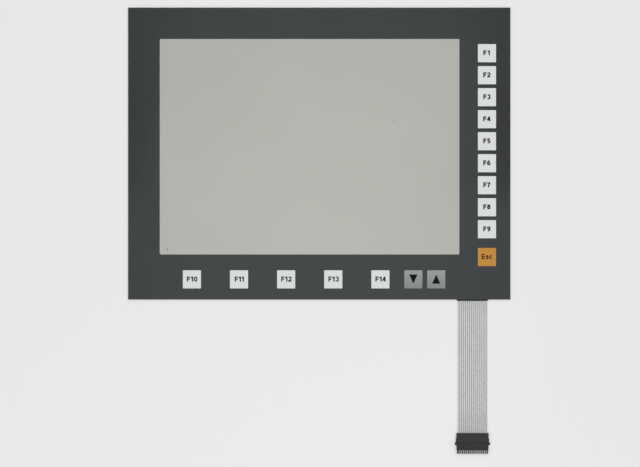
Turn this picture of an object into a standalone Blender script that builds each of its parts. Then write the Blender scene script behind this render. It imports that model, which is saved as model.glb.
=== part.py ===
# Membrane keypad: a printed film face with a display window and seventeen keys, laminated over
# its snap domes and printed circuit, with a flat film tail that ends in a clamped socket connector.
# It lies face up on its release liner. The origin is the middle of the panel on the liner's back,
# +X points to the key column, +Y to the panel's top edge and +Z out of the face. Lengths are metres.

from math import asin, cos, pi, sin

import bmesh
import bpy

# Panel and the clear window in it, as margins from the panel's edges
PANEL_WIDTH = 0.4687
PANEL_HEIGHT = 0.3579
WINDOW_LEFT_MARGIN = 0.0388
WINDOW_RIGHT_MARGIN = 0.0626
WINDOW_TOP_MARGIN = 0.0385
WINDOW_BOTTOM_MARGIN = 0.0553
WINDOW_CORNER = 0.0012
WINDOW_HIDDEN_EDGE = 0.003  # the inner layers stay this far back behind the printed border
WINDOW_RECESS = 0.00003  # the border's textured coat ends at the window
WINDOW_RECESS_SLOPE = 0.00006

# Key places: a column of nine keys and an escape key, a row of five keys and two arrow keys
COLUMN_EDGE_DISTANCE = 0.0287
COLUMN_TOP_DISTANCE = 0.0558
COLUMN_KEYS = 9
ESCAPE_BOTTOM_DISTANCE = 0.0521
ESCAPE_STEP = 0.0341
KEY_GAP = 0.0042
ROW_EDGE_DISTANCE = 0.0247
ROW_LEFT_DISTANCE = 0.07815
ROW_KEYS = 5
ARROW_STEP = 0.0404
ARROW_RIGHT_DISTANCE = 0.0909
ARROW_GAP = 0.0053

# Raised keys formed into the face film
KEY_CORNER = 0.0005
KEY_RAISE = 0.00025
KEY_SLOPE = 0.0009
KEY_SLOPE_STEPS = 3

# Layers from the back to the face
BOND_GAP = 0.00002
LINER_THICKNESS = 0.00012
SCORE_PLACE = 0.1
SCORE_WIDTH = 0.0003
SCORE_DEPTH = 0.00005
REAR_ADHESIVE_THICKNESS = 0.00013
CIRCUIT_THICKNESS = 0.000175
INK_THICKNESS = 0.00003
SPACER_THICKNESS = 0.0005
RETAINER_THICKNESS = 0.0001
FACE_ADHESIVE_THICKNESS = 0.00013
FACE_THICKNESS = 0.00025
ADHESIVE_INSET = 0.0004
CIRCUIT_INSET = 0.0008
KEY_OPENING_MARGIN = 0.0006

# Four-legged snap domes in vented holes of the spacer
DOME_RADIUS = 0.006
DOME_FLAT = 0.0049
DOME_METAL = 0.00007
DOME_HEADROOM = 0.00005
DOME_HOLE_CLEARANCE = 0.0004
VENT_WIDTH = 0.0012
PAD_RADIUS = 0.0017

# Film tail with its printed conductors
CONTACTS = 14
CONTACT_PITCH = 0.00254
CONDUCTOR_SHIFT = 0.0003  # the row of conductors lies this far right of the tail's middle
TAIL_RIGHT_DISTANCE = 0.04645
TAIL_LENGTH = 0.1639
TAIL_SIDE = 0.0025
CONDUCTOR_WIDTH = 0.0014
CONDUCTOR_START = 0.006
TAIL_REST_HEIGHT = 0.00005
TAIL_DROP_LENGTH = 0.03
TAIL_RISE_LENGTH = 0.036
TAB_REACH = 0.00166
TAB_ROOT_SIDE = 0.0006
TAB_END_INSET = 0.0007

# Clamped socket connector, measured from the edge where the tail goes in
TRAY_THICKNESS = 0.00115
COVER_LENGTH = 0.012
COVER_GAP = 0.00012
COVER_SIDE_CLEARANCE = 0.0001
COVER_SIDE_WALL = 0.0006
COVER_TOP = 0.003
COVER_CLEARANCE = 0.00008
COVER_CHAMFER = 0.0003
NOTCH_WIDTH = 0.0268
NOTCH_LENGTH = 0.0015
NOTCH_DEPTH = 0.0008
CRIMP_MARK_WIDTH = 0.0012
CRIMP_MARK_START = 0.0014
CRIMP_MARK_END = 0.0034
CRIMP_MARK_DEPTH = 0.0003
SKIRT_FOOT = 0.0002
EAR_START = 0.0067
EAR_REACH = 0.00065
EAR_CLEARANCE = 0.0001
EAR_HEIGHT = 0.0019
LUG_PLACE = 0.013
LUG_RADIUS = 0.0015
BLOCK_END = 0.0209
BLOCK_HEIGHT = 0.0032
BLOCK_SIDE_STEP = 0.00015
BLOCK_CHAMFER = 0.0003
CONNECTOR_LENGTH = 0.025
SLOT_WIDTH = 0.0013
COMB_END_RIB = 0.0018
CAVITY_WIDTH = 0.002
CAVITY_FLOOR = 0.00075
CAVITY_HEIGHT = 0.0018
LAP = 0.0004  # how far joined forms run into each other

# Stamped socket contacts
CONTACT_CLEARANCE = 0.0001
CONTACT_WALL = 0.0002
STRIP_WIDTH = 0.0012
STRIP_THICKNESS = 0.00015
STRIP_START = 0.0045
SOCKET_START = 0.0172
SOCKET_DEPTH = 0.006
CONTACT_SETBACK = 0.0005
MOUTH_TAPER = 0.0014
MOUTH_DROP = 0.0005
MOUTH_SIDE = 0.00012

# Facets
CORNER_STEPS = 2
HOLE_STEPS = 9
DOME_STEPS = 24
PAD_STEPS = 12
LUG_STEPS = 8
DROP_STEPS = 3
RISE_STEPS = 5

# Edges of the panel and the window
right = PANEL_WIDTH / 2
left = -right
top = PANEL_HEIGHT / 2
bottom = -top
window_left = left + WINDOW_LEFT_MARGIN
window_right = right - WINDOW_RIGHT_MARGIN
window_top = top - WINDOW_TOP_MARGIN
window_bottom = bottom + WINDOW_BOTTOM_MARGIN

# Key centres and size
column_x = right - COLUMN_EDGE_DISTANCE
column_top_y = top - COLUMN_TOP_DISTANCE
escape_y = bottom + ESCAPE_BOTTOM_DISTANCE
column_pitch = (column_top_y - escape_y - ESCAPE_STEP) / (COLUMN_KEYS - 1)
key_size = column_pitch - KEY_GAP
row_y = bottom + ROW_EDGE_DISTANCE
row_left_x = left + ROW_LEFT_DISTANCE
up_x = right - ARROW_RIGHT_DISTANCE
down_x = up_x - key_size - ARROW_GAP
row_pitch = (down_x - ARROW_STEP - row_left_x) / (ROW_KEYS - 1)

column_places = [(column_x, column_top_y - i * column_pitch) for i in range(COLUMN_KEYS)]
row_places = [(row_left_x + i * row_pitch, row_y) for i in range(ROW_KEYS)]
key_places = {f"f{i + 1}": place for i, place in enumerate(column_places + row_places)}
key_places["esc"] = (column_x, escape_y)
key_places["down"] = (down_x, row_y)
key_places["up"] = (up_x, row_y)

# Undersides of the layers
liner_z = 0
rear_adhesive_z = liner_z + LINER_THICKNESS + BOND_GAP
circuit_z = rear_adhesive_z + REAR_ADHESIVE_THICKNESS + BOND_GAP
dome_z = circuit_z + CIRCUIT_THICKNESS + BOND_GAP
spacer_z = dome_z + INK_THICKNESS
retainer_z = spacer_z + SPACER_THICKNESS + BOND_GAP
face_adhesive_z = retainer_z + RETAINER_THICKNESS + BOND_GAP
face_z = face_adhesive_z + FACE_ADHESIVE_THICKNESS + BOND_GAP

# Tail and connector
tail_x = right - TAIL_RIGHT_DISTANCE
conductor_span = (CONTACTS - 1) * CONTACT_PITCH
tail_half = conductor_span / 2 + TAIL_SIDE
socket_y = bottom - TAIL_LENGTH
tail_seat_z = TRAY_THICKNESS + BOND_GAP
cover_z = tail_seat_z + CIRCUIT_THICKNESS + INK_THICKNESS + BOND_GAP + STRIP_THICKNESS + COVER_CLEARANCE
cover_half = tail_half + COVER_SIDE_CLEARANCE + COVER_SIDE_WALL
contact_offsets = [CONDUCTOR_SHIFT + i * CONTACT_PITCH - conductor_span / 2 for i in range(CONTACTS)]
contact_x = [tail_x + offset for offset in contact_offsets]
block_start = COVER_LENGTH + COVER_GAP
ear_end = LUG_PLACE + LUG_RADIUS


def clear_scene():
    for item in list(bpy.data.objects):
        bpy.data.objects.remove(item, do_unlink=True)


def light_value(level):
    """Linear value of a screen colour's level from 0 to 255."""
    share = level / 255
    return share / 12.92 if share <= 0.04045 else ((share + 0.055) / 1.055) ** 2.4


def finish(name, colour, roughness, metallic=0.0):
    material = bpy.data.materials.new(name)
    material.use_nodes = True
    shader = material.node_tree.nodes["Principled BSDF"]
    shader.inputs["Base Color"].default_value = (*(light_value(level) for level in colour), 1)
    shader.inputs["Roughness"].default_value = roughness
    shader.inputs["Metallic"].default_value = metallic
    return material


def finished_mesh(name, work, material):
    mesh = bpy.data.meshes.new(name)
    work.to_mesh(mesh)
    work.free()
    mesh.materials.append(material)
    return mesh


def add_piece(name, work, material, place=(0, 0, 0)):
    """Object made from a working mesh."""
    return add_copy(name, finished_mesh(name, work, material), place)


def add_copy(name, mesh, place):
    piece = bpy.data.objects.new(name, mesh)
    piece.location = place
    bpy.context.scene.collection.objects.link(piece)
    return piece


def thicken(piece, thickness):
    """Give a skin its thickness on its upper side."""
    layer = piece.modifiers.new("thickness", "SOLIDIFY")
    layer.thickness = thickness
    layer.offset = 1
    layer.use_even_offset = True


def combine(piece, form, operation):
    """Join or cut a piece with a form that is no part of the finished model."""
    form.hide_render = True
    form.display_type = "WIRE"
    step = piece.modifiers.new(form.name, "BOOLEAN")
    step.operation = operation
    step.solver = "EXACT"
    step.object = form


def rounded(x_low, x_high, y_low, y_high, corner):
    """Outline of a rectangle with round corners, anticlockwise."""
    centres = (
        (x_high - corner, y_high - corner),
        (x_low + corner, y_high - corner),
        (x_low + corner, y_low + corner),
        (x_high - corner, y_low + corner),
    )
    points = []
    for quarter, (x, y) in enumerate(centres):
        for step in range(CORNER_STEPS + 1):
            angle = (quarter + step / CORNER_STEPS) * pi / 2
            points.append((x + corner * cos(angle), y + corner * sin(angle)))
    return points


def key_outline(place, margin):
    """Outline of a key, moved out from its edge by a margin."""
    x, y = place
    half = key_size / 2 + margin
    return rounded(x - half, x + half, y - half, y + half, KEY_CORNER)


def panel_outline(inset):
    return [
        (left + inset, bottom + inset),
        (right - inset, bottom + inset),
        (right - inset, top - inset),
        (left + inset, top - inset),
    ]


def window_outline(margin=WINDOW_HIDDEN_EDGE):
    """Outline of the window, moved out from its edge by a margin."""
    sides = (window_left - margin, window_right + margin, window_bottom - margin, window_top + margin)
    return rounded(*sides, WINDOW_CORNER)


def drawn_in(outline, distance):
    """Clockwise outline moved inwards by a distance, for a chamfer."""
    corners = [complex(x, y) for x, y in outline]
    moved = []
    for i, corner in enumerate(corners):
        arriving = corner - corners[i - 1]
        leaving = corners[(i + 1) % len(corners)] - corner
        inward_before = -1j * arriving / abs(arriving)
        inward_after = -1j * leaving / abs(leaving)
        mitre = inward_before + inward_after
        place = corner + mitre * 2 * distance / abs(mitre) ** 2
        moved.append((place.real, place.imag))
    return moved


def ring_of(work, points, z=0):
    return [work.verts.new((x, y, z)) for x, y in points]


def fill_flat(work, rings):
    """Flat skin inside the first ring and outside the others."""
    edges = []
    for ring in rings:
        for pair in zip(ring, ring[1:] + ring[:1]):
            edges.append(work.edges.get(pair) or work.edges.new(pair))
    bmesh.ops.triangle_fill(work, use_beauty=True, use_dissolve=False, edges=edges, normal=(0, 0, 1))


def bridge(work, ring, other):
    for i in range(len(ring)):
        work.faces.new((ring[i - 1], ring[i], other[i], other[i - 1]))


def turn_up(work):
    """Make all faces of a skin look up."""
    work.normal_update()
    bmesh.ops.reverse_faces(work, faces=[face for face in work.faces if face.normal.z < 0])


def flat_layer(name, z, thickness, outlines, material):
    """Die-cut sheet: the first outline is its edge and the others are its openings."""
    work = bmesh.new()
    fill_flat(work, [ring_of(work, outline) for outline in outlines])
    turn_up(work)
    piece = add_piece(name, work, material, (0, 0, z))
    thicken(piece, thickness)
    return piece


def loft(work, rings):
    """Closed body through rings that have the same number of points."""
    loops = [[work.verts.new(point) for point in ring] for ring in rings]
    for loop, other in zip(loops, loops[1:]):
        bridge(work, loop, other)
    work.faces.new(loops[0])
    work.faces.new(loops[-1])
    bmesh.ops.recalc_face_normals(work, faces=work.faces)


def prisms(name, outlines, z_low, z_high, material, chamfer=0.0):
    """Upright bodies on the given outlines, in one object. A chamfer breaks their top edges."""
    work = bmesh.new()
    for outline in outlines:
        levels = [(outline, z_low), (outline, z_high - chamfer)]
        if chamfer:
            levels.append((drawn_in(outline, chamfer), z_high))
        loft(work, [[(x, y, z) for x, y in ring] for ring, z in levels])
    return add_piece(name, work, material)


def disc(place, radius, steps):
    x, y = place
    angles = [2 * pi * i / steps for i in range(steps)]
    return [(x + radius * cos(angle), y + radius * sin(angle)) for angle in angles]


def vented_holes(places):
    """Outline round a straight run of dome holes that a vent channel joins."""
    radius = DOME_RADIUS + DOME_HOLE_CLEARANCE
    slip = asin(VENT_WIDTH / 2 / radius)
    across = abs(places[-1][0] - places[0][0]) > abs(places[-1][1] - places[0][1])
    heading = 0 if across else -pi / 2
    last = len(places) - 1

    def arc(index, side):
        x, y = places[index]
        start = 0 if index == last else slip
        end = pi if index == 0 else pi - slip
        turns = [start + (end - start) * i / HOLE_STEPS for i in range(HOLE_STEPS + 1)]
        angles = [heading + side * turn for turn in turns]
        return [(x + radius * cos(angle), y + radius * sin(angle)) for angle in angles]

    one_side = [point for i in range(last + 1) for point in reversed(arc(i, -1))]
    other_side = [point for i in range(last, -1, -1) for point in arc(i, 1)]
    return one_side + other_side[1:-1]


def build_liner(material):
    """Liner sheet with a scored line on its back, where it is cracked to peel it off."""
    liner = flat_layer("release_liner", liner_z, LINER_THICKNESS, [panel_outline(0)], material)
    half = SCORE_WIDTH / 2
    score = rounded(SCORE_PLACE - half, SCORE_PLACE + half, bottom - LAP, top + LAP, half / 2)
    form = prisms("score_form", [score], liner_z - LAP, liner_z + SCORE_DEPTH, material)
    combine(liner, form, "DIFFERENCE")


def build_adhesives(material):
    """Two adhesive frames. The front one is left open at the keys, so that they can move."""
    frame = [panel_outline(ADHESIVE_INSET), window_outline()]
    openings = [key_outline(place, KEY_OPENING_MARGIN) for place in key_places.values()]
    flat_layer("rear_adhesive", rear_adhesive_z, REAR_ADHESIVE_THICKNESS, frame, material)
    flat_layer("face_adhesive", face_adhesive_z, FACE_ADHESIVE_THICKNESS, frame + openings, material)


def build_spacer(material):
    """Spacer with the vented dome holes and the short tab over the tail's exit."""
    tab_root = tail_half + TAB_ROOT_SIDE
    tab_end = tail_half - TAB_END_INSET
    tab = [
        (tail_x - tab_root, bottom),
        (tail_x - tab_end, bottom - TAB_REACH),
        (tail_x + tab_end, bottom - TAB_REACH),
        (tail_x + tab_root, bottom),
    ]
    edge = panel_outline(0)
    column = vented_holes(column_places + [key_places["esc"]])
    row = vented_holes(row_places + [key_places["down"], key_places["up"]])
    outlines = [edge[:1] + tab + edge[1:], window_outline(), column, row]
    flat_layer("dome_spacer", spacer_z, SPACER_THICKNESS, outlines, material)


def build_retainer(material):
    outlines = [panel_outline(CIRCUIT_INSET), window_outline()]
    flat_layer("dome_retainer", retainer_z, RETAINER_THICKNESS, outlines, material)


def eased(share):
    return share * share * (3 - 2 * share)


def tail_height(distance):
    """Height of the tail's underside at a distance from the panel's edge."""
    if distance < TAIL_DROP_LENGTH:
        drop = eased(max(distance, 0) / TAIL_DROP_LENGTH)
        return circuit_z + (TAIL_REST_HEIGHT - circuit_z) * drop
    left_over = max(TAIL_LENGTH - distance, 0)
    rise = eased(max(1 - left_over / TAIL_RISE_LENGTH, 0))
    return TAIL_REST_HEIGHT + (tail_seat_z - TAIL_REST_HEIGHT) * rise


def tail_section(distance):
    """Section of the tail, with a raised strip of ink for each conductor."""
    low = tail_height(distance)
    film = low + CIRCUIT_THICKNESS
    ink = film + INK_THICKNESS
    points = [(tail_x - tail_half, low), (tail_x + tail_half, low), (tail_x + tail_half, film)]
    for x in reversed(contact_x):
        outer = x + CONDUCTOR_WIDTH / 2
        inner = x - CONDUCTOR_WIDTH / 2
        points += [(outer, film), (outer, ink), (inner, ink), (inner, film)]
    points.append((tail_x - tail_half, film))
    return [(x, bottom - distance, z) for x, z in points]


def build_circuit(material):
    """Circuit film with a contact pad under each dome, and its tail, which are one piece."""
    outlines = [panel_outline(CIRCUIT_INSET), window_outline()]
    film = flat_layer("circuit_film", circuit_z, CIRCUIT_THICKNESS, outlines, material)
    drop = [TAIL_DROP_LENGTH * i / DROP_STEPS for i in range(DROP_STEPS + 1)]
    rise_start = TAIL_LENGTH - TAIL_RISE_LENGTH
    rise = [rise_start + TAIL_RISE_LENGTH * i / RISE_STEPS for i in range(RISE_STEPS + 1)]
    stations = [-CONDUCTOR_START] + drop + rise + [TAIL_LENGTH + COVER_LENGTH]
    work = bmesh.new()
    loft(work, [tail_section(distance) for distance in stations])
    pad_levels = (circuit_z + CIRCUIT_THICKNESS / 2, circuit_z + CIRCUIT_THICKNESS + INK_THICKNESS)
    for place in key_places.values():
        pad = disc(place, PAD_RADIUS, PAD_STEPS)
        loft(work, [[(x, y, z) for x, y in pad] for z in pad_levels])
    combine(film, add_piece("tail_and_pads_form", work, material), "UNION")


def leg_reach(angle):
    """Edge of a dome: a circle with four flats, which leave a leg at each diagonal."""
    nearest_flat = round(angle / (pi / 2)) * pi / 2
    return min(DOME_RADIUS, DOME_FLAT / cos(angle - nearest_flat))


def build_domes(material):
    """One snap dome under each key, standing on its four legs."""
    rise = SPACER_THICKNESS - DOME_METAL - DOME_HEADROOM
    angles = [2 * pi * i / DOME_STEPS for i in range(DOME_STEPS)]
    work = bmesh.new()
    rings = []
    for share in (0.5, 1):
        ring = []
        for angle in angles:
            reach = leg_reach(angle) * share
            height = rise * (1 - (reach / DOME_RADIUS) ** 2)
            ring.append(work.verts.new((reach * cos(angle), reach * sin(angle), height)))
        rings.append(ring)
    crown = work.verts.new((0, 0, rise))
    for i in range(DOME_STEPS):
        work.faces.new((rings[0][i - 1], rings[0][i], crown))
    bridge(work, *rings)
    turn_up(work)
    mesh = finished_mesh("snap_dome", work, material)
    mesh.shade_smooth()
    for name, (x, y) in key_places.items():
        thicken(add_copy(f"dome_{name}", mesh, (x, y, dome_z)), DOME_METAL)


def build_face(material):
    """Face film with a raised, flat-topped key over each dome and a slightly lower window."""
    work = bmesh.new()
    window_edge = ring_of(work, window_outline(0))
    window_floor = ring_of(work, window_outline(-WINDOW_RECESS_SLOPE), -WINDOW_RECESS)
    bridge(work, window_edge, window_floor)
    work.faces.new(window_floor)
    rings = [ring_of(work, panel_outline(0)), window_edge]
    for place in key_places.values():
        ring = ring_of(work, key_outline(place, 0))
        rings.append(ring)
        for step in range(KEY_SLOPE_STEPS):
            share = (step + 1) / KEY_SLOPE_STEPS
            higher = ring_of(work, key_outline(place, -KEY_SLOPE * share), KEY_RAISE * eased(share))
            bridge(work, ring, higher)
            ring = higher
        work.faces.new(ring)
    fill_flat(work, rings)
    turn_up(work)
    face = add_piece("graphic_overlay", work, material, (0, 0, face_z))
    thicken(face, FACE_THICKNESS)


def on_connector(points):
    """Points on the connector, from offsets across the tail and along it from the entry edge."""
    return [(tail_x + across, socket_y - along) for across, along in points]


def both_sides(points):
    """Outline that is the same left and right, from its right side's points."""
    return on_connector(points + [(-across, along) for across, along in reversed(points)])


def left_and_right(points):
    """Two outlines, one for each side of the connector."""
    return [on_connector(points), on_connector([(-across, along) for across, along in points])]


def contact_boxes(name, width, along, height, material):
    """One box on each contact's axis, for cutting the housing."""
    half = width / 2
    corners = ((-half, along[0]), (half, along[0]), (half, along[1]), (-half, along[1]))
    outlines = [on_connector([(x + across, place) for across, place in corners]) for x in contact_offsets]
    return prisms(name, outlines, *height, material)


def build_housing(material):
    """Socket housing: clamp tray, ears with round lugs, contact block and an open comb."""
    ear_half = cover_half + EAR_REACH
    inner_half = cover_half + EAR_CLEARANCE
    block_half = cover_half - BLOCK_SIDE_STEP
    comb_half = conductor_span / 2 + SLOT_WIDTH / 2 + COMB_END_RIB
    turns = [pi / 2 - pi * i / LUG_STEPS for i in range(LUG_STEPS + 1)]
    lug = [(ear_half + LUG_RADIUS * cos(a), LUG_PLACE - LUG_RADIUS * sin(a)) for a in turns]
    outside = [(ear_half, EAR_START)] + lug
    tray = [(tail_half, 0), (tail_half, EAR_START)]
    block = [(block_half, ear_end), (block_half - BLOCK_SIDE_STEP, BLOCK_END)]
    comb = [(comb_half, BLOCK_END), (comb_half, CONNECTOR_LENGTH)]
    root = [(block_half - LAP, ear_end), (block_half - LAP, block_start)]
    ear = outside + root + [(inner_half, block_start), (inner_half, EAR_START)]
    upper = both_sides([(block_half, block_start)] + block + comb)

    base = both_sides(tray + outside + block + comb)
    housing = prisms("connector_housing", [base], 0, TRAY_THICKNESS, material)
    combine(housing, prisms("block_form", [upper], LAP, BLOCK_HEIGHT, material, BLOCK_CHAMFER), "UNION")
    combine(housing, prisms("ear_form", left_and_right(ear), LAP, EAR_HEIGHT, material), "UNION")
    past_end = CONNECTOR_LENGTH + LAP
    cavity_height = (CAVITY_FLOOR, CAVITY_FLOOR + CAVITY_HEIGHT)
    cavities = contact_boxes("cavity_form", CAVITY_WIDTH, (COVER_LENGTH, past_end), cavity_height, material)
    combine(housing, cavities, "DIFFERENCE")
    slot_height = (CAVITY_FLOOR + LAP, BLOCK_HEIGHT + LAP)
    slots = contact_boxes("slot_form", SLOT_WIDTH, (BLOCK_END, past_end), slot_height, material)
    combine(housing, slots, "DIFFERENCE")


def build_cover(material):
    """Clamp cover: a plate over the tail with a mark over each crimp, side skirts and a tool notch."""
    notch_half = NOTCH_WIDTH / 2
    notch_start = COVER_LENGTH - NOTCH_LENGTH
    skirt_inner = cover_half - COVER_SIDE_WALL
    skirt_end = EAR_START - COVER_GAP
    plate = both_sides([(cover_half, 0), (cover_half, COVER_LENGTH)])
    skirt = [(skirt_inner, 0), (cover_half, 0), (cover_half, skirt_end), (skirt_inner, skirt_end)]
    notch = both_sides([(notch_half, notch_start), (notch_half, COVER_LENGTH + LAP)])
    cover = prisms("connector_cover", [plate], cover_z, COVER_TOP, material, COVER_CHAMFER)
    skirts = prisms("skirt_form", left_and_right(skirt), SKIRT_FOOT, cover_z + LAP, material)
    combine(cover, skirts, "UNION")
    notch_form = prisms("notch_form", [notch], COVER_TOP - NOTCH_DEPTH, COVER_TOP + LAP, material)
    combine(cover, notch_form, "DIFFERENCE")
    mark_along = (CRIMP_MARK_START, CRIMP_MARK_END)
    mark_height = (COVER_TOP - CRIMP_MARK_DEPTH, COVER_TOP + LAP)
    marks = contact_boxes("mark_form", CRIMP_MARK_WIDTH, mark_along, mark_height, material)
    combine(cover, marks, "DIFFERENCE")


def build_contacts(material):
    """Stamped contacts: a strip that is crimped to the tail and a square socket for a pin."""
    strip_z = tail_seat_z + CIRCUIT_THICKNESS + INK_THICKNESS + BOND_GAP
    strip = (STRIP_WIDTH / 2, strip_z, strip_z + STRIP_THICKNESS)
    outer_low = CAVITY_FLOOR + CONTACT_CLEARANCE
    outer_high = CAVITY_FLOOR + CAVITY_HEIGHT - CONTACT_CLEARANCE
    outer_half = CAVITY_WIDTH / 2 - CONTACT_CLEARANCE
    outer = (outer_half, outer_low, outer_high)
    inner = (outer_half - CONTACT_WALL, outer_low + CONTACT_WALL, outer_high - CONTACT_WALL)
    lip = (outer_half - MOUTH_SIDE, outer_low, outer_high - MOUTH_DROP)
    lip_inside = (lip[0] - CONTACT_WALL, lip[1] + CONTACT_WALL, lip[2] - CONTACT_WALL)
    mouth = CONNECTOR_LENGTH - CONTACT_SETBACK
    stations = [
        (STRIP_START, strip),
        (SOCKET_START, strip),
        (SOCKET_START, outer),
        (mouth - MOUTH_TAPER, outer),
        (mouth, lip),
        (mouth, lip_inside),
        (mouth - MOUTH_TAPER, inner),
        (mouth - SOCKET_DEPTH, inner),
    ]
    work = bmesh.new()
    rings = []
    for along, (half, low, high) in stations:
        corners = ((-half, low), (half, low), (half, high), (-half, high))
        rings.append([(x, -along, z) for x, z in corners])
    loft(work, rings)
    mesh = finished_mesh("socket_contact", work, material)
    for i, across in enumerate(contact_offsets):
        add_copy(f"contact_{i + 1}", mesh, (tail_x + across, socket_y, 0))


def build_keypad():
    black_moulding = finish("black moulding", (57, 57, 56), 0.45)
    build_liner(finish("liner paper", (214, 208, 190), 0.8))
    build_adhesives(finish("adhesive", (222, 221, 214), 0.35))
    build_circuit(finish("circuit film", (203, 203, 200), 0.3))
    build_spacer(finish("black spacer film", (38, 41, 40), 0.5))
    build_domes(finish("spring steel", (178, 178, 176), 0.25, 1.0))
    build_retainer(finish("retainer film", (206, 208, 208), 0.3))
    build_face(finish("printed face film", (66, 70, 70), 0.55))
    build_housing(black_moulding)
    build_cover(black_moulding)
    build_contacts(finish("tinned contact", (176, 174, 168), 0.3, 1.0))


clear_scene()
build_keypad()
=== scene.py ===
# Membrane keypad: the looks of its printed face, film tail and clamped socket connector
import math

import bmesh
import bpy
from mathutils import Matrix, Vector


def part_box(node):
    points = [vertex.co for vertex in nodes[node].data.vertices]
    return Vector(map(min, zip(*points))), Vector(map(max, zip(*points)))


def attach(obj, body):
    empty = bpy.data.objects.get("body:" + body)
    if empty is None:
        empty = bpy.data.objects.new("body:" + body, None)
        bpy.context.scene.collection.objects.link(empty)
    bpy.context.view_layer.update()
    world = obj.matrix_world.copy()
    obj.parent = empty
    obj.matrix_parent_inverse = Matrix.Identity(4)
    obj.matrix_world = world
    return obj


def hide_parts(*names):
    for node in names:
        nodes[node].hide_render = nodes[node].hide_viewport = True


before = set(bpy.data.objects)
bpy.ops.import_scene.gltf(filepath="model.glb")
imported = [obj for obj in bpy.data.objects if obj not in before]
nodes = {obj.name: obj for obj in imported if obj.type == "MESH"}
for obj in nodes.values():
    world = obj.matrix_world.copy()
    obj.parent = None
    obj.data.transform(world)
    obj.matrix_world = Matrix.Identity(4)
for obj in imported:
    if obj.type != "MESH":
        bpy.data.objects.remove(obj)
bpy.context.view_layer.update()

mm = 0.001


def tone(*levels):
    # screen levels from 0 to 255, as a linear colour
    shares = [level / 255 for level in levels]
    return (*(s / 12.92 if s <= 0.04045 else ((s + 0.055) / 1.055) ** 2.4 for s in shares), 1)


def shaded(colour, share):
    return (*(share * level for level in colour[:3]), 1)


def middle(node):
    low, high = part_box(node)
    return (low + high) / 2


# One socket of a node tree. Sums on it are written as plain Python.
class Wire:
    def __init__(self, tree, socket):
        self.tree = tree
        self.socket = socket

    def sum(self, operation, *values):
        return self.tree.node("ShaderNodeMath", {"operation": operation}, dict(enumerate(values)))

    def __add__(self, other):
        return self.sum("ADD", self, other)

    def __sub__(self, other):
        return self.sum("SUBTRACT", self, other)

    def __rsub__(self, other):
        return self.sum("SUBTRACT", other, self)

    def __mul__(self, other):
        return self.sum("MULTIPLY", self, other)

    def __truediv__(self, other):
        return self.sum("DIVIDE", self, other)

    def __pow__(self, other):
        return self.sum("POWER", self, other)

    def __lt__(self, other):
        return self.sum("LESS_THAN", self, other)

    def __gt__(self, other):
        return self.sum("GREATER_THAN", self, other)

    def __abs__(self):
        return self.sum("ABSOLUTE", self)

    def within(self, low, high):
        # runs from 0 at low to 1 at high, and no further
        sockets = {"Value": self, "From Min": low, "From Max": high}
        return self.tree.node("ShaderNodeMapRange", {"clamp": True}, sockets)

    __radd__ = __add__
    __rmul__ = __mul__


class NodeTree:
    def __init__(self, tree):
        self.tree = tree

    def node(self, kind, settings=None, sockets=None, output=0):
        made = self.tree.nodes.new(kind)
        for name, value in (settings or {}).items():
            setattr(made, name, value)
        for name, value in (sockets or {}).items():
            self.feed(made.inputs[name], value)
        return Wire(self, made.outputs[output])

    def feed(self, target, value):
        if isinstance(value, Wire):
            self.tree.links.new(value.socket, target)
        elif isinstance(value, list):
            for wire in value:
                self.tree.links.new(wire.socket, target)
        else:
            target.default_value = value


# A material, with the noises and blends that its looks are worked out from
class Finish(NodeTree):
    def __init__(self, name, fixed):
        self.material = bpy.data.materials.new(name)
        self.material.use_nodes = True
        super().__init__(self.material.node_tree)
        self.shader = self.tree.nodes["Principled BSDF"]
        for socket, value in fixed.items():
            self.shader.inputs[socket].default_value = value
        self.place = self.node("ShaderNodeTexCoord", output="Object")

    def cloud(self, size, detail=2.0, stretch=None):
        # soft noise about 0.5, with patches of the given size in metres
        place = self.place
        if stretch:
            place = self.node("ShaderNodeMapping", {}, {"Vector": place, "Scale": stretch})
        return self.node("ShaderNodeTexNoise", {}, {"Vector": place, "Scale": 1 / size, "Detail": detail})

    def axis(self, name):
        return self.node("ShaderNodeSeparateXYZ", {}, {"Vector": self.place}, output=name)

    def blend(self, share, first, second):
        return self.node("ShaderNodeMix", {"data_type": "RGBA"}, {0: share, 6: first, 7: second}, output=2)

    def paint(self, colour, roughness, height=None, depth=0.0):
        self.feed(self.shader.inputs["Base Color"], colour)
        self.feed(self.shader.inputs["Roughness"], roughness)
        if height is not None:
            relief = self.node("ShaderNodeBump", {}, {"Height": height, "Distance": depth})
            self.feed(self.shader.inputs["Normal"], relief)
        return self.material

    def grained(self, colour, grain, rough, depth):
        # paint whose relief and roughness follow one grain
        least, added = rough
        return self.paint(colour, least + grain * added, grain, depth)


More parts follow.
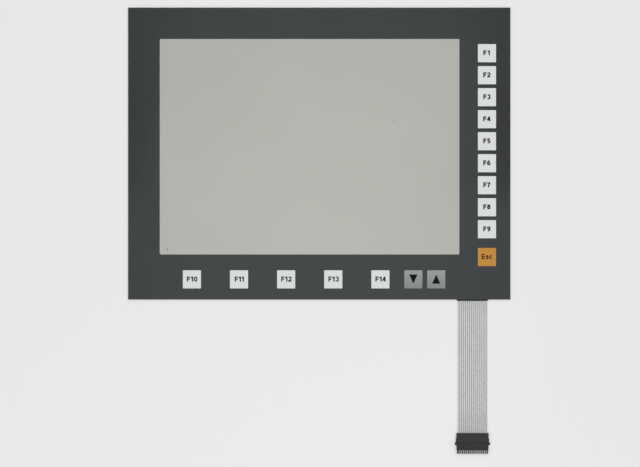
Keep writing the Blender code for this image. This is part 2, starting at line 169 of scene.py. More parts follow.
class GeometryTree(NodeTree):
    def __init__(self, name, sizes):
        self.group = bpy.data.node_groups.new(name, "GeometryNodeTree")
        super().__init__(self.group)
        self.sizes = sizes
        self.socket("Geometry", "INPUT", "NodeSocketGeometry")
        self.socket("Geometry", "OUTPUT", "NodeSocketGeometry")
        self.keys = {}
        for label, value in sizes.items():
            kind = "NodeSocketInt" if isinstance(value, int) else "NodeSocketFloat"
            self.keys[label] = self.socket(label, "INPUT", kind).identifier
        self.source = self.group.nodes.new("NodeGroupInput")
        self.sink = self.group.nodes.new("NodeGroupOutput")

    def socket(self, label, side, kind):
        return self.group.interface.new_socket(label, in_out=side, socket_type=kind)

    def given(self, label):
        return Wire(self, self.source.outputs[label])

    def vector(self, x=0.0, y=0.0, z=0.0):
        return self.node("ShaderNodeCombineXYZ", {}, {"X": x, "Y": y, "Z": z})

    def grow(self, seed, solid=0.0):
        # runs the tree on its seed, thickens the skin upwards if asked, and gives the plain mesh
        modifier = seed.modifiers.new(self.group.name, "NODES")
        modifier.node_group = self.group
        for label, value in self.sizes.items():
            modifier[self.keys[label]] = value
        if solid:
            wall = seed.modifiers.new("wall", "SOLIDIFY")
            wall.thickness = solid
            wall.offset = 1
            wall.use_even_offset = True
        mesh = plainMesh(seed)
        bpy.data.objects.remove(seed)
        if mesh.materials[0] is None:
            mesh.materials.pop(index=0)
        return mesh


flatWithin = math.radians(1)  # faces that turn less than this are one flat


def mergedFlat(source, weld):
    # a copy with its doubles merged and its flat faces joined
    work = bmesh.new()
    work.from_mesh(source)
    bmesh.ops.remove_doubles(work, verts=work.verts, dist=weld)
    bmesh.ops.dissolve_limit(work, angle_limit=flatWithin, verts=work.verts, edges=work.edges)
    mesh = bpy.data.meshes.new(source.name)
    work.to_mesh(mesh)
    work.free()
    for material in source.materials:
        mesh.materials.append(material)
    return mesh


def plainMesh(seed):
    bpy.context.view_layer.update()
    graph = bpy.context.evaluated_depsgraph_get()
    shown = seed.evaluated_get(graph)
    return bpy.data.meshes.new_from_object(shown, preserve_all_data_layers=True, depsgraph=graph)


def newObject(name, data):
    made = bpy.data.objects.new(name, data)
    bpy.context.scene.collection.objects.link(made)
    return made


def addPiece(name, mesh, replaced=()):
    mesh.name = name
    piece = newObject(name, mesh)
    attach(piece, "root")
    if replaced:
        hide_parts(*replaced)


# the face film's matte coats carry a painted sheen, paler round one place and darker away from it, and
# painted shade halfway up the panel's flanks.
# rough is the least roughness and what the grain adds
coats = {
    "ground": {
        "pale": tone(65, 69, 70), "shadeAndPatchTone": tone(49, 51, 52), "gloss": 0.12, "rough": (0.5, 0.12),
        "paintedSheenMiddle": (-5 * mm, -105 * mm), "reach": (352 * mm, 456 * mm), "fall": 2.0,
        "start": -0.475, "patches": 0.35},
    "window": {
        "pale": tone(185, 184, 178), "shadeAndPatchTone": tone(172, 171, 165), "gloss": 0.15, "rough": (0.4, 0.15),
        "paintedSheenMiddle": (-5 * mm, -92 * mm), "reach": (380 * mm, 380 * mm), "fall": 1.2,
        "start": -0.4, "patches": 0.5},
}
# painted shade on the panel's flanks, with the coat's random patches and grain
coatShadeAndPatches = {
    "patches": (120 * mm, 1.0),  # size of the noise and its detail
    "grainShare": 0.3,
    "flankAcross": (190 * mm, 222 * mm),  # where the painted shade starts and where it is full
    "flankFoot": (-74 * mm, -30 * mm),
    "flankHead": (170 * mm, 70 * mm),
    "flankShadeDepths": [(-1, 0.33), (1, 0.5)],  # side of the panel and how much painted shade it gets
}
texture = {"grain": 0.35 * mm, "depth": 0.004 * mm}  # of all prints on the face film


def coatColour(finish, coat, grain):
    # painted sheen and shade over the panel, paler round one place and darker away from it and up the
    # flanks, broken up by patches and grain
    (x, y), (wide, high) = coat["paintedSheenMiddle"], coat["reach"]
    across, along = (finish.axis("X") - x) / wide, (finish.axis("Y") - y) / high
    # painted sheen: darker with distance from the coat's brightest place
    paintedShade = (across * across + along * along) ** (coat["fall"] / 2) + coat["start"]
    shadeAndPatches = coatShadeAndPatches
    upright = finish.axis("Y").within(*shadeAndPatches["flankFoot"]) * finish.axis("Y").within(*shadeAndPatches["flankHead"])
    # painted shade halfway up both flanks of the panel
    for side, depth in shadeAndPatches["flankShadeDepths"]:
        paintedShade = paintedShade + (finish.axis("X") * side).within(*shadeAndPatches["flankAcross"]) * upright * depth
    patches = finish.cloud(*shadeAndPatches["patches"]) * coat["patches"]
    share = (paintedShade + patches + grain * shadeAndPatches["grainShare"]).within(0, 1)
    return finish.blend(share, coat["pale"], coat["shadeAndPatchTone"])


def groundPrint():
    coat = coats["ground"]
    finish = Finish("groundPrint", {"Specular IOR Level": coat["gloss"]})
    grain = finish.cloud(texture["grain"])
    return finish.grained(coatColour(finish, coat, grain), grain, coat["rough"], texture["depth"])


specks = {
    "tone": tone(84, 82, 78),
    "ragged": (0.7 * mm, 3.0),
    "raggedShare": 1.2,
    "edge": 0.35,
    "places": [  # middle, half length, half width and how dark
        (91.7 * mm, 40.6 * mm, 1.25 * mm, 0.6 * mm, 0.65),
        (-186.3 * mm, -117.0 * mm, 0.75 * mm, 1.2 * mm, 0.9),
        (-187.5 * mm, -117.4 * mm, 0.5 * mm, 0.6 * mm, 0.3),
        (-190.0 * mm, -117.2 * mm, 0.6 * mm, 0.9 * mm, 0.35),
    ],
}


def windowFilm():
    # the window's coat, with specks of dust on it
    coat = coats["window"]
    finish = Finish("windowFilm", {"Specular IOR Level": coat["gloss"]})
    grain = finish.cloud(texture["grain"])
    colour = coatColour(finish, coat, grain)
    ragged = finish.cloud(*specks["ragged"]) - 0.5
    for x, y, long, wide, dark in specks["places"]:
        across = (finish.axis("X") - x) / long
        along = (finish.axis("Y") - y) / wide
        nearness = 1 - (across * across + along * along) ** 0.5 + ragged * specks["raggedShare"]
        colour = finish.blend(nearness.within(0, specks["edge"]) * dark, colour, specks["tone"])
    return finish.grained(colour, grain, coat["rough"], texture["depth"])


keyLook = {
    "white": tone(218, 220, 221),
    "orange": tone(193, 136, 64),
    "grey": tone(152, 154, 153),
    "greyFoot": tone(134, 136, 134),
    "footReach": 11 * mm,  # up and down from a grey key's middle
    "mottle": 7 * mm,
    "mottleShare": 1.2,
    "grainShare": 0.4,
    "start": -0.55,
    "mottleShade": 0.95,
    "gloss": 0.15,
    "rough": (0.42, 0.12),
}


def keyInk(name, colour):
    # key print with a faint mottle
    finish = Finish(name, {"Specular IOR Level": keyLook["gloss"]})
    grain = finish.cloud(texture["grain"])
    mottle = finish.cloud(keyLook["mottle"]) * keyLook["mottleShare"] + keyLook["start"]
    share = (mottle + grain * keyLook["grainShare"]).within(0, 1)
    mottled = finish.blend(share, colour, shaded(colour, keyLook["mottleShade"]))
    return finish.grained(mottled, grain, keyLook["rough"], texture["depth"])


def greyKeyInk():
    # grey key colour, darker towards the key's lower edge
    finish = Finish("greyKeyInk", {"Specular IOR Level": keyLook["gloss"]})
    grain = finish.cloud(texture["grain"])
    rise = (finish.axis("Y") - middle("dome_up").y).within(-keyLook["footReach"], keyLook["footReach"])
    colour = finish.blend(rise, keyLook["greyFoot"], keyLook["grey"])
    return finish.grained(colour, grain, keyLook["rough"], texture["depth"])


facePrints = [
    groundPrint(),
    windowFilm(),
    keyInk("whiteKeyInk", keyLook["white"]),
    keyInk("orangeKeyInk", keyLook["orange"]),
    greyKeyInk(),
]
ground, window, whiteKey, orangeKey, greyKey = range(len(facePrints))
print("finishes of the face are mixed")

# the face film, with its window and raised keys in one skin
faceLow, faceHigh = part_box("graphic_overlay")
faceSizes = {
    "Panel Width": faceHigh.x - faceLow.x,
    "Panel Height": faceHigh.y - faceLow.y,
    "Window Left": 38.8 * mm,
    "Window Right": 62.6 * mm,
    "Window Top": 38.5 * mm,
    "Window Bottom": 55.3 * mm,
    "Window Corner": 1.2 * mm,
    "Window Recess": 0.03 * mm,
    "Recess Slope": 0.06 * mm,
    "Key Size": 22.79 * mm,
    "Key Corner": 0.5 * mm,
    "Key Raise": 0.25 * mm,
    "Key Slope": 0.9 * mm,
    "Foot Height": 0.09 * mm,  # the ground's print climbs this far up a key
    "Weld": 0.004 * mm,
}
faceThickness = 0.25 * mm
slopeSteps = 5
cornerSteps = 4
keyTop = faceHigh.z


def keyKinds():
    # key names from the domes under them, with the print that each key has
    kinds = {}
    for node in nodes:
        if node.startswith("dome_") and node not in ("dome_spacer", "dome_retainer"):
            kinds[node[5:]] = {"esc": orangeKey, "up": greyKey, "down": greyKey}.get(node[5:], whiteKey)
    return kinds


def keySeed():
    # one point at each key's middle, on the film's underside
    places = keyKinds()
    mesh = bpy.data.meshes.new("keySeed")
    points = [middle("dome_" + key) for key in places]
    mesh.from_pydata([(p.x, p.y, 0) for p in points], [], [])
    mark = mesh.attributes.new("keyPrint", "INT", "POINT")
    mark.data.foreach_set("value", list(places.values()))
    return newObject("keySeed", mesh)


def eased(share):
    # slow at both ends of a slope
    return share * share * (3 - 2 * share)


def faceTree():
    tree = GeometryTree("keypadFace", faceSizes)
    size = tree.given

    def outline(width, height, corner=None):
        curve = tree.node("GeometryNodeCurvePrimitiveQuadrilateral", {}, {"Width": width, "Height": height})
        if corner is None:
            return curve
        return tree.node("GeometryNodeFilletCurve", {"mode": "POLY"}, {
            "Curve": curve, "Count": cornerSteps, "Radius": corner})

    def marked(mesh, value):
        settings = {"data_type": "INT", "domain": "FACE"}
        return tree.node("GeometryNodeStoreNamedAttribute", settings, {
            "Geometry": mesh, "Name": "print", "Value": value})

    def attribute(name):
        return tree.node("GeometryNodeInputNamedAttribute", {"data_type": "INT"}, {"Name": name})

    def filled(curve, mode):
        return tree.node("GeometryNodeFillCurve", {"mode": mode}, {"Curve": curve})

    def onKeys(shape):
        spread = tree.node("GeometryNodeInstanceOnPoints", {}, {
            "Points": tree.given("Geometry"), "Instance": shape})
        return tree.node("GeometryNodeRealizeInstances", {}, {"Geometry": spread})

    # the key's skin climbs from its foot in small steps
    keyOutline = outline(size("Key Size"), size("Key Size"), size("Key Corner"))
    skin = filled(keyOutline, "NGONS")
    top = True
    for step in range(1, slopeSteps + 1):
        before, now = (step - 1) / slopeSteps, step / slopeSteps
        climb = size("Key Raise") * (eased(now) - eased(before))
        extruded = tree.node("GeometryNodeExtrudeMesh", {}, {
            "Mesh": skin, "Selection": top, "Offset": (0, 0, 1), "Offset Scale": climb,
            "Individual": False})
        top = Wire(tree, extruded.socket.node.outputs["Top"])
        wide = size("Key Size") - size("Key Slope") * (2 * before)
        narrow = size("Key Size") - size("Key Slope") * (2 * now)
        skin = tree.node("GeometryNodeScaleElements", {}, {
            "Geometry": extruded, "Selection": top, "Scale": narrow / wide})
    place = tree.node("GeometryNodeInputPosition")
    height = tree.node("ShaderNodeSeparateXYZ", {}, {"Vector": place}, output="Z")
    keys = marked(onKeys(skin), attribute("keyPrint") * (height > size("Foot Height")))

    # window outline, moved off the middle by its uneven margins
    across = size("Panel Width") - size("Window Left") - size("Window Right")
    down = size("Panel Height") - size("Window Top") - size("Window Bottom")
    shift = tree.vector(
        (size("Window Left") - size("Window Right")) / 2, (size("Window Bottom") - size("Window Top")) / 2)
    windowOutline = tree.node("GeometryNodeTransform", {}, {
        "Geometry": outline(across, down, size("Window Corner")), "Translation": shift})
    lowered = tree.node("GeometryNodeExtrudeMesh", {}, {
        "Mesh": filled(windowOutline, "NGONS"), "Offset": (0, 0, -1), "Offset Scale": size("Window Recess"),
        "Individual": False})
    floor = Wire(tree, lowered.socket.node.outputs["Top"])
    lowered = tree.node("GeometryNodeScaleElements", {}, {
        "Geometry": lowered, "Selection": floor, "Scale": 1 - size("Recess Slope") * 2 / across})
    windowSkin = marked(lowered, window)

    panelOutline = outline(size("Panel Width"), size("Panel Height"))
    cuts = tree.node("GeometryNodeJoinGeometry", {}, {
        "Geometry": [panelOutline, windowOutline, onKeys(keyOutline)]})
    sheet = marked(filled(cuts, "TRIANGLES"), ground)

    whole = tree.node("GeometryNodeJoinGeometry", {}, {"Geometry": [sheet, windowSkin, keys]})
    whole = tree.node("GeometryNodeRealizeInstances", {}, {"Geometry": whole})
    whole = tree.node("GeometryNodeMergeByDistance", {}, {"Geometry": whole, "Distance": size("Weld")})
    for value, material in enumerate(facePrints):
        picked = abs(attribute("print") - value) < 0.5
        whole = tree.node("GeometryNodeSetMaterial", {}, {
            "Geometry": whole, "Selection": picked, "Material": material})
    tree.feed(tree.sink.inputs["Geometry"], whole)
    return tree


def buildFace():
    mesh = faceTree().grow(keySeed(), faceThickness)
    mesh.transform(Matrix.Translation((0, 0, faceLow.z)))
    mesh.update()
    addPiece("keypadFace", mesh, ["graphic_overlay"])
    print("face film:", len(mesh.polygons), "faces,", len(mesh.materials), "prints")


buildFace()

# legends and arrows, drawn with strokes of ink
legend = {
    "column": {"high": 6.1 * mm, "stroke": 0.245, "nudge": (-0.12 * mm, 0.44 * mm)},
    "escape": {"high": 6.1 * mm, "stroke": 0.195, "nudge": (0, 0.6 * mm)},
    "row": {"high": 6.35 * mm, "stroke": 0.225, "nudge": (0.36 * mm, 0.36 * mm)},
    "arrow": {"high": 11.3 * mm, "wide": 10.2 * mm, "nudge": (0, 0.33 * mm)},
    "letterGap": 0.13,  # of the capitals' height, as are strokes and small letters
    "smallLetter": 0.76,
    "loneOne": (0.12, 0.1),  # room before and after the figure of F1
    "bowStep": 15,  # degrees
    "ringGap": 0.001,  # ends closer than this meet
    "sink": 0.03 * mm,
    "stand": 0.012 * mm,
    "weld": 0.002 * mm,
    "ink": tone(14, 15, 16),
    "inkWorn": tone(24, 25, 26),
    "inkGrain": 0.25 * mm,
    "gloss": 0.05,
    "rough": (0.4, 0.15),
}


def legendInk():
    finish = Finish("legendInk", {"Specular IOR Level": legend["gloss"]})
    grain = finish.cloud(legend["inkGrain"])
    colour = finish.blend(grain, legend["ink"], legend["inkWorn"])
    return finish.grained(colour, grain, legend["rough"], texture["depth"])


def bow(x, y, wide, high, start, end):
    # points on an oval from one angle to another, in degrees; wide and high are its half axes
    count = max(2, round(abs(end - start) / legend["bowStep"]))
    turns = [math.radians(start + (end - start) * i / count) for i in range(count + 1)]
    return [complex(x + wide * math.cos(turn), y + high * math.sin(turn)) for turn in turns]


def line(*places):
    return [complex(x, y) for x, y in places]


def letters(stroke):
    # each letter's width and the middle lines of its strokes, for capitals one unit high
    half = stroke / 2
    top = 1 - half
    small = legend["smallLetter"]
    curl = (small - 2 * half) / 4
    upper, lower = 0.23 * (top - half), 0.27 * (top - half)  # of the bows of 3 and 8
    stem = line((half, 0), (half, 1))
    topArm = line((half, top), (0.64, top))
    lowBow = (0.34, half + lower, 0.34 - half, lower)
    topBow = (0.34, top - upper, 0.31 - half, upper)
    six = [bow(*lowBow, 0, 360), bow(0.42, 0.5, 0.42 - half, 0.5 - half, 65, 180) + line((half, 0.3))]
    return {
        "F": (0.64, [stem, topArm, line((half, 0.49), (0.58, 0.49))]),
        "E": (0.68, [stem, topArm, line((half, 0.51), (0.61, 0.51)), line((half, half), (0.68, half))]),
        "s": (0.6, [bow(0.3, small - half - curl, 0.3 - half, curl, 20, 235)
                    + bow(0.3, half + curl, 0.3 - half, curl, 55, -160)]),
        "c": (0.6, [bow(0.32, small / 2, 0.32 - half, small / 2 - half, 42, 318)]),
        "0": (0.7, [bow(0.35, 0.5, 0.35 - half, top - 0.5, 0, 360)]),
        "1": (0.44, [line((0.44 - half, 0), (0.44 - half, 1)), line((0, 0.7), (0.15, 0.74), (0.29, 0.9))]),
        "2": (0.68, [bow(0.34, top - 0.2, 0.34 - half, 0.2, 165, -35) + line((0.14, 0.14)),
                     line((0.02, half), (0.68, half))]),
        "3": (0.66, [bow(*topBow, 160, -80), bow(*lowBow, 80, -158)]),
        "4": (0.7, [line((0.46, 0.93), (0.1, 0.34)), line((0, 0.3), (0.7, 0.3)),
                    line((0.48, 0), (0.48, 1))]),
        "5": (0.67, [line((0.63, top), (0.19, top), (0.14, 0.48)), bow(*lowBow, 135, -158)]),
        "6": (0.68, six),
        "7": (0.66, [line((0.02, top), (0.61, top)),
                     line((0.56, 0.88), (0.38, 0.58), (0.28, 0.28), (0.25, 0))]),
        "8": (0.68, [bow(*topBow, 0, 360), bow(*lowBow, 0, 360)]),
        "9": (0.68, [[complex(0.68, 1) - point for point in path] for path in six]),
    }


def addStroke(work, path, wide, place):
    # flat-ended ribbon along a path; a path that ends where it starts is a ring
    ring = abs(path[0] - path[-1]) < legend["ringGap"]
    points = path[:-1] if ring else path
    count = len(points)
    rails = []
    for i, here in enumerate(points):
        arriving = here - points[i - 1] if ring or i else points[1] - here
        leaving = points[(i + 1) % count] - here if ring or i < count - 1 else arriving
        side = 1j * (arriving / abs(arriving) + leaving / abs(leaving))
        reach = side * wide / abs(side) ** 2
        edges = (here + reach, here - reach)
        corners = [Vector((edge.real, edge.imag, z)) for z in (-0.5, 0.5) for edge in edges]
        rails.append([work.verts.new(place @ corner) for corner in corners])
    around = (0, 1, 3, 2)
    for i in range(count if ring else count - 1):
        here, after = rails[i], rails[(i + 1) % count]
        for a, b in zip(around, around[1:] + around[:1]):
            work.faces.new((here[a], here[b], after[b], after[a]))
    if not ring:
        for end in (rails[0], rails[-1]):
            work.faces.new([end[corner] for corner in around])


def addArrow(work, tip, place):
    wide, high = legend["arrow"]["wide"] / 2, legend["arrow"]["high"] / 2 * tip
    corners = [(-wide, -high), (wide, -high), (0, high)]
    low, top = [[work.verts.new(place @ Vector((x, y, z))) for x, y in corners] for z in (-0.5, 0.5)]
    work.faces.new(low)
    work.faces.new(top)
    for i in range(3):
        work.faces.new((low[i - 1], low[i], top[i], top[i - 1]))


def addWord(work, word, stroke, place):
    before, after = legend["loneOne"] if word == "F1" else (0, 0)
    shapes = [letters(stroke)[letter] for letter in word]
    width = sum(wide for wide, paths in shapes) + legend["letterGap"] * (len(word) - 1)
    start = -(width + before + after) / 2
    for wide, paths in shapes:
        letterPlace = place @ Matrix.Translation((start, -0.5, 0))
        for path in paths:
            addStroke(work, path, stroke, letterPlace)
        start += wide + legend["letterGap"] + before


def inkTree():
    # joins the strokes of each letter into one body
    tree = GeometryTree("keyLegends", {})
    joined = tree.node("GeometryNodeMeshBoolean", {"operation": "UNION", "solver": "EXACT"}, {
        "Mesh": tree.given("Geometry"), "Self Intersection": True})
    joined = tree.node("GeometryNodeRealizeInstances", {}, {"Geometry": joined})
    inked = tree.node("GeometryNodeSetMaterial", {}, {"Geometry": joined, "Material": legendInk()})
    tree.feed(tree.sink.inputs["Geometry"], inked)
    return tree


def groupOf(key):
    # the kind of legend that a key has
    if key in ("up", "down"):
        return "arrow"
    if key == "esc":
        return "escape"
    return "column" if int(key[1:]) < 10 else "row"


def buildLegends():
    work = bmesh.new()
    thick = legend["sink"] + legend["stand"]
    for key in keyKinds():
        group = groupOf(key)
        look = legend[group]
        spot = middle("dome_" + key) + Vector((*look["nudge"], 0))
        spot.z = keyTop + (legend["stand"] - legend["sink"]) / 2
        if group == "arrow":
            place = Matrix.Translation(spot) @ Matrix.Diagonal((1, 1, thick, 1))
            addArrow(work, 1 if key == "up" else -1, place)
            continue
        place = Matrix.Translation(spot) @ Matrix.Diagonal((look["high"], look["high"], thick, 1))
        addWord(work, "Esc" if group == "escape" else key.upper(), look["stroke"], place)
    bmesh.ops.recalc_face_normals(work, faces=work.faces)
    mesh = bpy.data.meshes.new("legendSeed")
    work.to_mesh(mesh)
    work.free()
    grown = mergedFlat(inkTree().grow(newObject("legendSeed", mesh)), legend["weld"])
    addPiece("keyLegends", grown)
    print("legends:", len(grown.polygons), "faces")


buildLegends()

# the contacts stand over the tail's conductors
contactNames = [f"contact_{i}" for i in range(1, 15)]
contactXs = [middle(name).x for name in contactNames]
filmColour = tone(216, 217, 216)


def plainLook(colour, roughness, patch, depth):
    # an even layer's look
    return {"colours": (colour, shaded(colour, 0.88)), "noises": [(patch, 3.0)],
            "weights": (1,), "reach": (0.3, 0.7), "rough": (roughness, 0.12), "depth": depth,
            "fixed": {"Specular IOR Level": 0.2}}


# finishes of the tail and the hidden layers. A noise is a size, its detail and its stretch. Weighed and
# brought to their reach, the noises blend the colours. They add to the least roughness, and the first
# one is the relief.
layerLooks = {
    "linerPaper": {
        "colours": (tone(206, 201, 186), tone(217, 212, 197)),
        "noises": [(0.6 * mm, 4.0, (1, 0.4, 1)), (9 * mm, 3.0)],
        "weights": (0.6, 0.5), "reach": (0.25, 0.85), "rough": (0.6, 0.2), "depth": 0.01 * mm,
        "fixed": {"Specular IOR Level": 0.3}},
    "adhesiveFilm": plainLook(tone(222, 221, 214), 0.3, 0.8 * mm, 0.006 * mm),
    "blackSpacer": plainLook(tone(22, 25, 25), 0.45, 0.5 * mm, 0.005 * mm),
    "retainerFilm": plainLook(tone(206, 208, 208), 0.3, 0.6 * mm, 0.003 * mm),
    "clearCircuitFilm": {
        "colours": (filmColour, shaded(filmColour, 0.94)),
        "noises": [(0.5 * mm, 2.0), (18 * mm, 2.0, (1, 0.35, 1))],
        "weights": (0, 1), "reach": (0, 1), "rough": (0.25, 0.1), "depth": 0.003 * mm,
        "fixed": {"Specular IOR Level": 0.35, "Alpha": 0.155}},
    "springSteel": {
        "colours": (tone(182, 182, 180), tone(206, 206, 203)),
        "noises": [(0.2 * mm, 3.0, (1, 0.1, 1))],
        "weights": (1,), "reach": (0, 1), "rough": (0.2, 0.18), "depth": 0.003 * mm,
        "fixed": {"Metallic": 1.0}},
    "tinPlate": {
        "colours": (tone(172, 171, 166), tone(198, 197, 192)),
        "noises": [(0.25 * mm, 3.0, (1, 0.12, 1)), (1.5 * mm, 2.0)],
        "weights": (0.6, 0.5), "reach": (0.2, 0.9), "rough": (0.24, 0.2), "depth": 0.004 * mm,
        "fixed": {"Metallic": 0.5, "Specular IOR Level": 0.3}},
    "silverInk": {
        "colours": (tone(150, 150, 149), tone(168, 168, 167)),
        "noises": [(0.12 * mm, 3.0), (1.2 * mm, 2.0, (1, 0.08, 1))],
        "weights": (0.6, 0.5), "reach": (0.2, 0.9), "rough": (0.42, 0.2), "depth": 0.004 * mm,
        "fixed": {"Specular IOR Level": 0.3, "Metallic": 0.1}},
}
linerFrame = {"shade": tone(186, 180, 164), "share": 0.3, "soft": 1.5 * mm}


def layerFinish(name, look, over=None):
    finish = Finish(name, look["fixed"])
    clouds = [finish.cloud(*noise) for noise in look["noises"]]
    least, *added = look["rough"]
    share = sum(cloud * weight for cloud, weight in zip(clouds, look["weights"])).within(*look["reach"])
    colour = finish.blend(share, *look["colours"])
    if over:
        colour = over(finish, colour)
    roughness = least + sum(cloud * more for cloud, more in zip(clouds, added))
    return finish.paint(colour, roughness, clouds[0], look["depth"])


def frameShade(finish, paper):
    # the adhesive's frame shows through the liner as a faint shade, outside the window's rectangle
    left, bottom = faceLow.x + faceSizes["Window Left"], faceLow.y + faceSizes["Window Bottom"]
    right, top = faceHigh.x - faceSizes["Window Right"], faceHigh.y - faceSizes["Window Top"]
    across = abs(finish.axis("X") - (left + right) / 2) - (right - left) / 2
    along = abs(finish.axis("Y") - (bottom + top) / 2) - (top - bottom) / 2
    off = finish.node("ShaderNodeMath", {"operation": "MAXIMUM"}, {0: across, 1: along})
    share = off.within(-linerFrame["soft"], linerFrame["soft"]) * linerFrame["share"]
    return finish.blend(share, paper, linerFrame["shade"])


def dress(look, names, over=None):
    material = layerFinish(look, layerLooks[look], over)
    for name in names:
        slots = nodes[name].material_slots
        for slot in slots:
            slot.material = material
        if not slots:
            nodes[name].data.materials.append(material)


dress("linerPaper", ["release_liner"], frameShade)
dress("adhesiveFilm", ["rear_adhesive", "face_adhesive"])
dress("blackSpacer", ["dome_spacer"])
dress("retainerFilm", ["dome_retainer"])
dress("clearCircuitFilm", ["circuit_film"])
dress("springSteel", ["dome_" + key for key in keyKinds()])
dress("tinPlate", contactNames)
print("finishes of the layers are mixed")

# printed conductors that follow the tail
conductorSizes = {
    "Conductors": len(contactXs),
    "Pitch": contactXs[1] - contactXs[0],
    "First": contactXs[0],
    "Ink Width": 1.18 * mm,
    "Ink Depth": 0.04 * mm,
}
inkStand = 0.006 * mm
ridge = {"halfWidth": 0.7 * mm, "edgeWithin": 0.02 * mm, "startInside": 0.5 * mm}  # inside the panel's edge


def tailPath():
    # points along the tail at the ridges' height, read from the first conductor's ridge
    edge = contactXs[0] - ridge["halfWidth"]
    heights = {}
    for vertex in nodes["circuit_film"].data.vertices:
        x, y, z = vertex.co
        if abs(x - edge) < ridge["edgeWithin"] and y < faceLow.y + ridge["startInside"]:
            y = round(y, 6)
            heights[y] = max(z, heights.get(y, z))
    return [(0, y, heights[y]) for y in sorted(heights, reverse=True)]


def conductorTree():
    ink = layerFinish("silverInk", layerLooks["silverInk"])
    tree = GeometryTree("tailConductors", conductorSizes)
    size = tree.given
    path = tree.node("GeometryNodeMeshToCurve", {}, {"Mesh": size("Geometry")})
    path = tree.node("GeometryNodeSetCurveNormal", {"mode": "Z_UP"}, {"Curve": path})
    profile = tree.node("GeometryNodeCurvePrimitiveQuadrilateral", {}, {
        "Width": size("Ink Width"), "Height": size("Ink Depth")})
    strip = tree.node("GeometryNodeCurveToMesh", {}, {
        "Curve": path, "Profile Curve": profile, "Fill Caps": True})
    row = tree.node("GeometryNodeMeshLine", {}, {
        "Count": size("Conductors"), "Start Location": tree.vector(size("First")),
        "Offset": tree.vector(size("Pitch"))})
    strips = tree.node("GeometryNodeInstanceOnPoints", {}, {"Points": row, "Instance": strip})
    strips = tree.node("GeometryNodeRealizeInstances", {}, {"Geometry": strips})
    strips = tree.node("GeometryNodeSetMaterial", {}, {"Geometry": strips, "Material": ink})
    strips = tree.node("GeometryNodeSetShadeSmooth", {}, {"Geometry": strips, "Shade Smooth": False})
    tree.feed(tree.sink.inputs["Geometry"], strips)
    return tree


def buildConductors():
    points = tailPath()
    mesh = bpy.data.meshes.new("tailSeed")
    mesh.from_pydata(points, [(i, i + 1) for i in range(len(points) - 1)], [])
    grown = conductorTree().grow(newObject("tailSeed", mesh))
    grown.transform(Matrix.Translation((0, 0, inkStand - conductorSizes["Ink Depth"] / 2)))
    addPiece("tailConductors", grown)
    print("conductors:", len(grown.polygons), "faces along", len(points), "points")


buildConductors()

# connector mouldings, with their edges broken
edgeBreak = {"width": 0.07 * mm, "segments": 2, "angle": math.radians(35), "weld": 0.0005 * mm}
mouldingShades = {"connector_housing": 0.82, "connector_cover": 0.96}


def mouldingLook(shade):
    pale = shaded(tone(56, 56, 55), shade)
    return {"colours": (shaded(pale, 0.74), pale), "noises": [(0.12 * mm, 3.0), (3 * mm, 2.0)],
            "weights": (0.3, 0.8), "reach": (0.2, 0.9), "rough": (0.4, 0.08, 0.15), "depth": 0.012 * mm,
            "fixed": {"Specular IOR Level": 0.2}}


def buildMoulding(name, node):
    mesh = mergedFlat(nodes[node].data, edgeBreak["weld"])
    for layer in ("custom_normal", "sharp_face", "sharp_edge"):
        if layer in mesh.attributes:
            mesh.attributes.remove(mesh.attributes[layer])
    mesh.materials.clear()
    mesh.materials.append(layerFinish(name + "Moulding", mouldingLook(mouldingShades[node])))
    seed = newObject("seed", mesh)
    edge = seed.modifiers.new("edge", "BEVEL")
    edge.width = edgeBreak["width"]
    edge.segments = edgeBreak["segments"]
    edge.limit_method = "ANGLE"
    edge.angle_limit = edgeBreak["angle"]
    edge.harden_normals = True
    finished = plainMesh(seed)
    bpy.data.objects.remove(seed)
    addPiece(name, finished, [node])
    print(name, len(finished.polygons), "faces")


buildMoulding("connectorHousing", "connector_housing")
buildMoulding("connectorCover", "connector_cover")

# table, light and camera
photo = {"pixelsWide": 640, "pixel": 1.227 * mm}
studio = {
    "table": tone(237, 237, 237),
    # the next tone is where painted shade and random patches take the table
    "tableShadeAndPatchTone": tone(231, 231, 231),
    "tablePaintedLightFront": (-120 * mm, -385 * mm),  # painted light: paler in front of the keypad
    "tablePaintedShadeRight": (200 * mm, 290 * mm),  # and painted shade at its right
    "tableShare": 0.4,
    "tableSlope": 0.4,  # what each of the two adds or takes
    "tableCloud": (900 * mm, 1.0),
    "tableCloudShare": 0.2,
    "tableSize": 6.0,
    "tableDrop": 0.03 * mm,
    "distance": tone(232, 232, 232),  # the far table and the backdrop, as they are seen
    "farStart": 0.6,
    "farEnd": 1.8,
    "world": 0.528,
    "lamps": [  # name, power, size, place and whether gloss mirrors it
        ("softboxAbove", 38.0, 2.0, (-0.12, -0.6, 3.1), False),
        ("softboxBehind", 19.0, 1.5, (1.3, 1.5, 2.6), True),
    ],
    "cameraHeight": 3.0,
    "viewWidth": photo["pixelsWide"] * photo["pixel"],
    "viewMiddle": (0.9 * mm, -98.0 * mm),
}


def seen(tree):
    # 1 for rays from the camera, a mirror or glass, and 0 for those that light the object
    rays = ("Is Camera Ray", "Is Glossy Ray", "Is Transmission Ray")
    return sum(tree.node("ShaderNodeLightPath", output=ray) for ray in rays).within(0, 1)


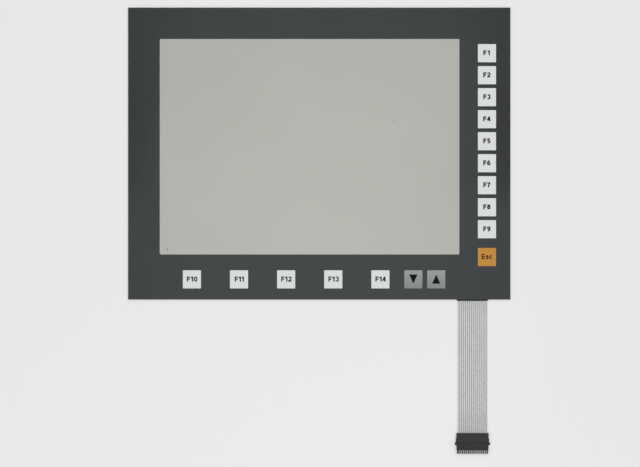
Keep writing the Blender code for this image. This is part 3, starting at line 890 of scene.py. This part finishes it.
def buildTable():
    finish = Finish("table", {"Specular IOR Level": 0.0})
    # painted light in front of the keypad and painted shade at the table's right, over random patches
    front = finish.axis("Y").within(*studio["tablePaintedLightFront"])
    right = finish.axis("X").within(*studio["tablePaintedShadeRight"])
    patches = finish.cloud(*studio["tableCloud"]) * studio["tableCloudShare"]
    share = studio["tableShare"] + (front - right) * studio["tableSlope"] + patches
    finish.paint(finish.blend(share, studio["tableShadeAndPatchTone"], studio["table"]), 0.8)
    x, y = studio["viewMiddle"]
    across, along = finish.axis("X") - x, finish.axis("Y") - y
    far = ((across * across + along * along) ** 0.5).within(studio["farStart"], studio["farEnd"])
    glow = finish.node("ShaderNodeEmission", {}, {"Color": studio["distance"]})
    lit = Wire(finish, finish.shader.outputs["BSDF"])
    shown = finish.node("ShaderNodeMixShader", {}, {0: far * seen(finish), 1: lit, 2: glow})
    finish.feed(finish.tree.nodes["Material Output"].inputs["Surface"], shown)
    half = studio["tableSize"] / 2
    mesh = bpy.data.meshes.new("table")
    corners = [(-half, -half), (half, -half), (half, half), (-half, half)]
    mesh.from_pydata([(x, y, -studio["tableDrop"]) for x, y in corners], [], [(0, 1, 2, 3)])
    mesh.materials.append(finish.material)
    newObject("table", mesh)


def buildLight():
    world = bpy.data.worlds.new("studio")
    world.use_nodes = True
    sky = NodeTree(world.node_tree)
    backdrop = world.node_tree.nodes["Background"]
    backdrop.inputs["Color"].default_value = (1, 1, 1, 1)
    strength = seen(sky) * (studio["distance"][0] - studio["world"]) + studio["world"]
    sky.feed(backdrop.inputs["Strength"], strength)
    bpy.context.scene.world = world
    for name, power, size, place, mirrored in studio["lamps"]:
        lamp = bpy.data.lights.new(name, "AREA")
        lamp.energy = power
        lamp.size = size
        softbox = newObject(name, lamp)
        softbox.location = place
        aim = Vector((*studio["viewMiddle"], 0)) - softbox.location
        softbox.rotation_euler = aim.to_track_quat("-Z", "Y").to_euler()
        softbox.visible_glossy = mirrored


def buildCamera():
    view = bpy.data.cameras.new("camera")
    view.sensor_fit = "HORIZONTAL"
    view.angle = 2 * math.atan(studio["viewWidth"] / 2 / studio["cameraHeight"])
    camera = newObject("camera", view)
    camera.location = (*studio["viewMiddle"], studio["cameraHeight"])
    bpy.context.scene.camera = camera


buildTable()
buildLight()
buildCamera()
bpy.context.scene.view_settings.view_transform = "Standard"
print("table, light and camera are set")
